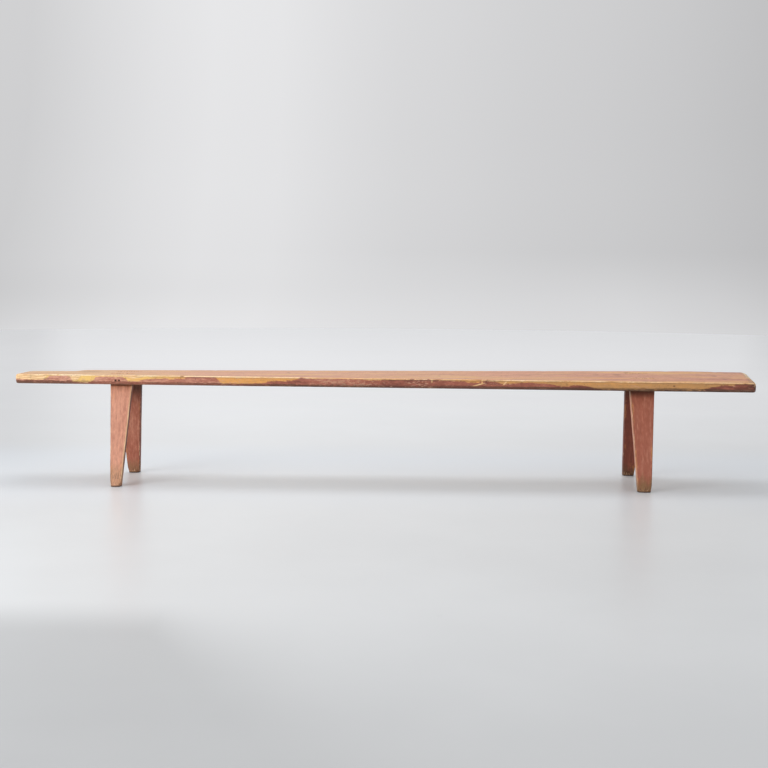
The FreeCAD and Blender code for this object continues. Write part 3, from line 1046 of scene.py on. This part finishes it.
def seat_layers(s, low, worn, front_worn):
    """Layers over the seat's coats, painted shade, highlight and sheen among them, as (mask, colour)."""
    scuffed = (s.chip + s.broad * 0.5 + s.scuffing * 0.14).step(0.87, 0.96) * s.on_front * 0.8
    marks = (s.chip + s.broad * 0.4).step(0.72, 0.84)
    # Dirt with painted shade on the low bevel, which faces down
    dirt = low * s.dirtiness * (1 - marks * 0.5) * s.on_edge
    hair = s.noise(s.place, (12, 260, 260), 3, 0.6)
    streaks = low * hair.step(0.56, 0.66) * s.on_edge * 0.60
    depth = s.down + s.broad.about(0.006)
    line = depth.step(0.0040, 0.0055) * depth.step(0.0094, 0.0072) * (1 - worn)
    line = line * s.on_front * along(s, LINE_SHARE) * 0.72
    warm = (s.front.step(0.14, 0.04) * s.x.step(-0.6, 0.2)).between(0.11, 0.28) * s.on_top
    # Dust on the top, painted paler as a sheen too
    dust_and_sheen = (s.band + s.chip * 0.3).step(0.50, 0.75) * s.on_top * s.ground * 0.75
    # Bare wood of the front arris, painted paler as a highlight
    pale = front_worn * s.x.step(1.2, 0.8).between(0.15, 0.85)
    return [(scuffed, SCUFF), (dirt, EDGE_DIRT_AND_SHADE), (streaks, EDGE_STREAK), (line, EDGE_DIRT_AND_SHADE),
            (warm, TOP_WARM), (dust_and_sheen, DUST_AND_SHEEN), (pale, PALE_WOOD_AND_HIGHLIGHT)]


def seat_material():
    s = Shade("seat_paint")
    seat_fields(s)
    jagged = s.chip.about(1.0) * (s.scuffing * 0.75 + 0.25)
    low = (s.share_down + jagged - along(s, DIRT_AND_SHADE_START_SHARE)).step(0.0, 0.115)
    inside = (s.front + s.broad.about(0.05)).step(0.0, 0.03)
    beneath = s.down.step(*BENEATH_DEPTH) * (inside * 0.9 + 0.1)
    worn, front_worn, splinter = seat_arrises(s)
    (edge_bare, edge_ochre), (top_bare, top_ochre) = edge_coats(s), top_coats(s)
    flecks = (s.speck + s.chip * 0.35).step(0.85, 0.90) * 0.8
    masks = most(edge_bare, worn, top_bare, beneath), most(edge_ochre, top_ochre, flecks)
    over = seat_layers(s, low, worn, front_worn) + [(splinter, PALE_WOOD_AND_HIGHLIGHT), (seat_stains(s), STAIN)]
    tones, grime_and_shade = seat_tones(s, low), seat_grime_and_shade(s, worn, beneath)
    return old_paint(s, s.place, (s.late, s.fibre), masks, tones, grime_and_shade, over, shine=0.04)


# Legs' paint: how pink the outer, the inner, the right and the left faces are, how worn the right and
# the left arrises, how high the worn foot reaches, where the painted shade under the plank begins and
# is full, and the colour of the old wood at the foot
LEG_LOOKS = {
    "front_left": (0.84, 0.45, 0.08, 0.60, 1.25, 0.60, 0.085, 0.397, 0.408, colour(194, 146, 112)),
    "rear_left": (0.80, 0.60, 0.10, 0.30, 0.70, 0.45, 0.045, 0.300, 0.388, colour(148, 110, 78)),
    "front_right": (0.52, 0.40, 0.20, 0.95, 0.45, 0.75, 0.046, 0.366, 0.400, colour(128, 102, 64)),
    "rear_right": (0.62, 0.08, 0.20, 0.05, 0.45, 0.30, 0.042, 0.320, 0.400, colour(94, 72, 48)),
}


def leg_tone(s, leg, rightward, top):
    """How pink the leg's red coat is, by the face."""
    outer, inner, edge_right, edge_left = LEG_LOOKS[leg.name][:4]
    tone = (s.through * -leg.side).step(0.004, -0.004).between(inner, outer)
    edge = rightward.between(edge_left, edge_right)
    tone = s.side.step(0.0035, 0.0010).between(tone, edge)
    return top.between(tone, 0.50)


def leg_bare(s, leg, rightward, top):
    """Where the leg's arrises, its tenon's end and its sole are bare."""
    worn_right, worn_left = LEG_LOOKS[leg.name][4:6]
    arrises = s.arris * (1 / 0.0030) + s.ragged * 3.0 - rightward.between(worn_left, worn_right)
    end = (s.chip + s.broad * 0.4).step(0.66, 0.76) * top
    foot = (s.along + s.chip.about(0.100)).step(0.007, 0.003) * 0.5
    return most(arrises.step(0.15, -0.15), end, foot)


def leg_grime_and_shade(s, leg, bare, worn_foot, top):
    """Sole dirt with a painted contact shadow, painted plank shade, and grime on the arrises and worn
    foot.
    """
    shade, dark = LEG_LOOKS[leg.name][7:9]
    # Dirt, with a painted contact shadow, along the sole
    sole = (s.along + s.chip.about(0.012)).step(0.0080, 0.0040) * 0.85
    # Painted shade that the plank casts on the top of the leg
    under = (s.along * math.cos(leg.angle)).step(shade, dark) * (1 - top) * 0.80
    edge = (s.arris + s.chip.about(0.010)).step(0.0050, 0.0005) * (worn_foot * 0.4 + 0.40) * (1 - bare)
    foot = (s.chip + s.broad * 0.5).step(0.74, 0.88) * worn_foot * 0.45
    return most(sole, under, edge, foot)


def leg_material(leg, seed):
    s = Shade(leg.name + "_paint")
    s.arris, s.side, s.along = s.attributes("arris", "side", "along")
    across, s.through = s.attributes("across", "through")
    place = s.node("CombineXYZ", {0: s.along + seed, 1: across, 2: s.through})
    s.broad, s.chip, s.ragged = worn_noise(s, place)
    rightward = across.step(-0.002, 0.002)
    top = s.along.step(0.44, 0.452)
    foot, foot_colour = LEG_LOOKS[leg.name][6], LEG_LOOKS[leg.name][9]
    worn_foot = (s.along + s.ragged * 0.18).step(foot + 0.028, foot - 0.028)
    flecks = (s.chip + s.broad * 0.3).step(0.84, 0.92)
    rubbed = (s.broad + s.chip * 0.5 - s.arris * 8.0).step(0.74, 0.90)
    ochre = most(flecks * 0.5, rubbed * 0.45)
    bare = leg_bare(s, leg, rightward, top)
    s.inputs["Specular IOR Level"].default_value = 0.3
    wood = softwood(s, place, (0.03 * leg.side, 0.05), 0.0030)
    over = [(worn_foot * (1 - bare) * 0.9, foot_colour), (bare * 0.55, LEG_ARRIS)]
    tone, grime_and_shade = leg_tone(s, leg, rightward, top), leg_grime_and_shade(s, leg, bare, worn_foot, top)
    return old_paint(s, place, wood, (bare, ochre), (tone, 0.3), grime_and_shade, over, shine=-0.06, spread=0.6)


def wedge_material():
    s = Shade("wedge_wood")
    turned = s.node("CombineXYZ", {to: s.place.part(axis) for to, axis in enumerate("ZXY")})
    wood = softwood(s, turned, (0.4, 0.3), 0.0022)
    chip = s.noise(s.place, (150, 150, 150), 4, 0.6)
    masks = chip.step(0.56, 0.64), chip.step(0.46, 0.52)
    return old_paint(s, turned, wood, masks, (0.55, 0.6), chip.step(0.45, 0.3) * 0.5)


def nail_material():
    s = Shade("nail_iron")
    cloud = s.noise(s.place, (240, 240, 240), 5, 0.65)
    pits = s.noise(s.place, (900, 900, 900), 3, 0.6)
    shown = s.mix(cloud.step(0.42, 0.60), IRON, RUST)
    shown = s.mix(pits.step(0.60, 0.72) * 0.6, shown, RUST_LIGHT)
    s.inputs["Metallic"].default_value = 0.35
    return s.finish(shown, cloud.about(0.3) + 0.62, cloud * 0.0002 + pits * 0.0001)


def dress(piece, material):
    piece.data.materials.clear()
    piece.data.materials.append(material)


# Camera, stage and light

FLOOR_RADIUS = 12.0
COVE_RADIUS = 5.0
WALL_HEIGHT = 24.0
ROUND_STEPS = 96
COVE_STEPS = 12


def make_camera():
    data = bpy.data.cameras.new("camera")
    data.sensor_width = SENSOR_MM
    data.lens = FOCAL_PIXELS / PICTURE_PIXELS * SENSOR_MM
    data.clip_end = 100
    camera = new_object("camera", data)
    level = Euler((math.pi / 2 - CAMERA_PITCH, 0, CAMERA_YAW)).to_matrix()
    roll = Matrix.Rotation(CAMERA_ROLL, 3, "Z")
    camera.matrix_world = Matrix.Translation(CAMERA_PLACE) @ (level @ roll).to_4x4()
    bpy.context.scene.camera = camera


def circle(radius, height):
    turns = [2 * math.pi * step / ROUND_STEPS for step in range(ROUND_STEPS)]
    return [(radius * math.cos(turn), radius * math.sin(turn), height) for turn in turns]


# Brightness of the background from left to right, and by height, as on the screen
WALL_ACROSS = {
    -9: 0.81, -5.9: 0.8, -4.9: 0.842, -4: 0.872, -3.1: 0.89, -2: 0.885, -0.8: 0.853, 0: 0.835,
    0.9: 0.823, 2.1: 0.804, 3.3: 0.79, 4.5: 0.77, 6: 0.735, 9: 0.79}
WALL_UPWARD = {
    0: 0.04, 0.5: 0.015, 1.05: 0, 2: 0.008, 3: 0.01, 5: 0.02, 9: 0.03}
# How much the far floor is lightened, by the distance behind the bench
FLOOR_GLOW = {
    -0.3: 0, 0.9: 0.05, 2.6: 0.17, 4.5: 0.24, 6.6: 0.26, 9: 0.24, 12: 0.21}
SHINE = 0.34
# Change of the wall's brightness near its foot, from left to right
FOOT_ACROSS = {
    -9: -0.034, -5.2: -0.034, -3: -0.026, -1.3: -0.013, 0.2: 0.002, 1.7: 0.011, 3.2: 0.025, 4.7: 0.02,
    5.6: 0.009, 9: 0}
# The dim sides of the far floor: how they lean, and where each begins and is full
SHADE_LEAN = 0.27
LEFT_SHADE = (-1.1, -1.7)
RIGHT_SHADE = (1.25, 1.70)
# The dark floor nearest to the camera: where it starts and ends, its reach by x, and how dark it is
NEAR_START = -1.95
NEAR_END = (-4.8, -3.3)
NEAR_RIGHT = (2.2, 1.6)
NEAR_LEFT = (-1.8, -1.8)
NEAR_LEAST = 0.35
NEAR_DEPTH = 0.27
# The dim pool under the left lamp, outside the photograph's view
POOL_PLACE = (-3.0, -2.2, 0)
POOL_REACH = (1.9, 0.7)
POOL_DEPTH = 0.35
# The floor that the photograph shows reaches so far to the front and to the sides
VIEW_NEAR = -3.2
VIEW_HALF = 3.6
BLACK = colour(0, 0, 0)
FLOOR_TONES = colour(223, 225, 227), colour(227, 229, 231)
FLOOR_BLUISH, FLOOR_SCUFF = colour(227, 232, 238), colour(190, 190, 190)
GLOW_TONES = colour(248, 248, 252), colour(240, 240, 243)
WALL_TONE = (0.985, 0.985, 1.0, 1.0)


def knot_curve(value, table):
    """A number that follows a table of {metres: level}."""
    low, span = min(table), max(table) - min(table)
    share = value.math("MULTIPLY_ADD", 1 / span, -low / span, clamp=True)
    return share.curve([((place - low) / span, level) for place, level in table.items()])


def seen(s):
    """1 for rays that show the stage, straight or mirrored, and 0 for those that light the object."""
    kinds = ("Camera", "Glossy", "Transmission")
    return most(*[s.node("LightPath", {}, "Is " + kind + " Ray") for kind in kinds])


def near_shades(s, x, y, shown):
    """The floor's darker parts: in front of the photograph's view, and a pool under the left lamp."""
    reach = most(x.math("MULTIPLY_ADD", *NEAR_RIGHT), x.math("MULTIPLY_ADD", *NEAR_LEFT), NEAR_LEAST)
    near = (NEAR_START - y).math("DIVIDE", reach, clamp=True).step(0.0, 1.0) * y.step(*NEAR_END)
    shown = s.mix(near * NEAR_DEPTH, shown, BLACK)
    pool = s.distance(s.place, POOL_PLACE).step(*POOL_REACH)
    return s.mix(pool * seen(s) * POOL_DEPTH, shown, BLACK)


def far_shades(x, y):
    """How dim the far floor is at its left and right."""
    left = (x + y * SHADE_LEAN).step(*LEFT_SHADE) * y.step(-0.2, 1.0) * 0.13
    right = (x - y * SHADE_LEAN).step(*RIGHT_SHADE) * y.step(3.0, 7.0) * 0.10
    return most(left, right)


def make_floor():
    floor = make_object("floor", circle(FLOOR_RADIUS, 0), [tuple(range(ROUND_STEPS))])
    s = Shade("floor")
    x, y = s.place.part("X"), s.place.part("Y")
    cloud = s.noise(s.place, (1.1, 1.1, 1.1), 4, 0.6)
    scuffs = s.noise(s.place, (14, 14, 14), 5, 0.7, 1.5)
    shown = s.mix(cloud.step(0.3, 0.7), *FLOOR_TONES)
    # Bluer near the bench, painted to offset the warm light that the bench bounces onto the floor
    shown = s.mix((y - 0.2).math("ABSOLUTE").step(1.0, 0.3), shown, FLOOR_BLUISH)
    shown = s.mix(scuffs.step(0.70, 0.76) * 0.25, shown, FLOOR_SCUFF)
    shade = far_shades(x, y)
    shown = s.mix(shade, near_shades(s, x, y, shown), BLACK)
    away = most(VIEW_NEAR - y, x.math("ABSOLUTE") - VIEW_HALF, y)
    feed(s.inputs["Emission Color"], s.mix(x.step(-7.0, 7.0), *GLOW_TONES))
    feed(s.inputs["Emission Strength"], knot_curve(away, FLOOR_GLOW) * (1 - shade) * seen(s))
    dress(floor, s.finish(shown, cloud.about(0.08) + SHINE, scuffs * 0.00005))
    return floor


def make_backdrop():
    rings = []
    for step in range(COVE_STEPS + 1):
        turn = math.pi / 2 * step / COVE_STEPS
        out, up = math.sin(turn), 1 - math.cos(turn)
        rings.append(circle(FLOOR_RADIUS + COVE_RADIUS * out, COVE_RADIUS * up))
    rings.append(circle(FLOOR_RADIUS + COVE_RADIUS, WALL_HEIGHT))
    faces = [face[::-1] for face in ring_faces(len(rings), ROUND_STEPS)]
    backdrop = make_object("backdrop", [point for ring in rings for point in ring], faces)
    smooth(backdrop, 60)
    backdrop.visible_diffuse = False
    backdrop.visible_shadow = False
    s = Shade("backdrop")
    x, z = s.place.part("X"), s.place.part("Z")
    at_foot = knot_curve(x, FOOT_ACROSS) * z.step(1.1, 0.3)
    level = (knot_curve(x, WALL_ACROSS) + knot_curve(z, WALL_UPWARD) + at_foot).math("POWER", 2.2)
    for name, value in (("Base Color", BLACK), ("Specular IOR Level", 0.0), ("Roughness", 1.0),
                        ("Emission Color", s.mix(1.0, WALL_TONE, level, "MULTIPLY")),
                        ("Emission Strength", seen(s))):
        feed(s.inputs[name], value)
    dress(backdrop, s.material)


# Lamps: place, the point they look at, size and power; and the world, brighter towards the front left
OVERHEAD = ((-0.2, 0.55, 3.6), (-0.2, 0.0, 0.0), (3.0, 1.4), 38)
FRONT_LEFT = ((-3.6, -2.9, 1.9), (-0.9, 0.0, 0.2), (2.6, 2.0), 84)
BRIGHT_SIDE = (-0.57, -0.74, 0.35)
WORLD_LEAST, WORLD_MOST = 0.30, 0.84


def lamp(name, place, target, size, power):
    data = bpy.data.lights.new(name, "AREA")
    data.shape = "RECTANGLE"
    data.size, data.size_y = size
    data.energy = power
    light = new_object(name, data)
    turn = (Vector(target) - Vector(place)).to_track_quat("-Z", "Y")
    light.matrix_world = Matrix.Translation(place) @ turn.to_matrix().to_4x4()
    return light


def light_floor_alone(light, floor, alone):
    """Lets a lamp light the floor alone, or all but the floor."""
    group = bpy.data.collections.new(light.name + "_receivers")
    group.objects.link(floor)
    group.collection_objects[0].light_linking.link_state = "INCLUDE" if alone else "EXCLUDE"
    light.light_linking.receiver_collection = group


def make_light(floor):
    world = bpy.data.worlds.new("world")
    bpy.context.scene.world = world
    world.use_nodes = True
    tree = world.node_tree
    background = tree.nodes["Background"]
    toward = make_node(tree, "TexCoord", {}, "Generated")
    facing = make_node(tree, "VectorMath", {0: toward, 1: BRIGHT_SIDE}, "Value", operation="DOT_PRODUCT")
    level = make_node(tree, "MapRange", {0: facing, 1: -1.0, 3: WORLD_LEAST, 4: WORLD_MOST})
    feed(background.inputs["Strength"], level)
    background.inputs["Color"].default_value = (1, 1, 1, 1)
    lamp("overhead", *OVERHEAD)
    for name, alone in (("front_left", False), ("front_left_on_floor", True)):
        light = lamp(name, *FRONT_LEFT)
        light_floor_alone(light, floor, alone)
        light.visible_glossy = not alone


make_camera()
stage_floor = make_floor()
make_backdrop()
make_light(stage_floor)
dress(make_plank(), seat_material())
for leg, (shape_seed, paint_seed) in zip(LEGS, LEG_SEEDS):
    dress(make_leg(leg, shape_seed), leg_material(leg, paint_seed))
wedge_finish, nail_finish = wedge_material(), nail_material()
for name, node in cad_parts.items():
    dress(node, nail_finish if name == "front_left_nails" else wedge_finish)
bpy.context.scene.view_settings.view_transform = "Standard"
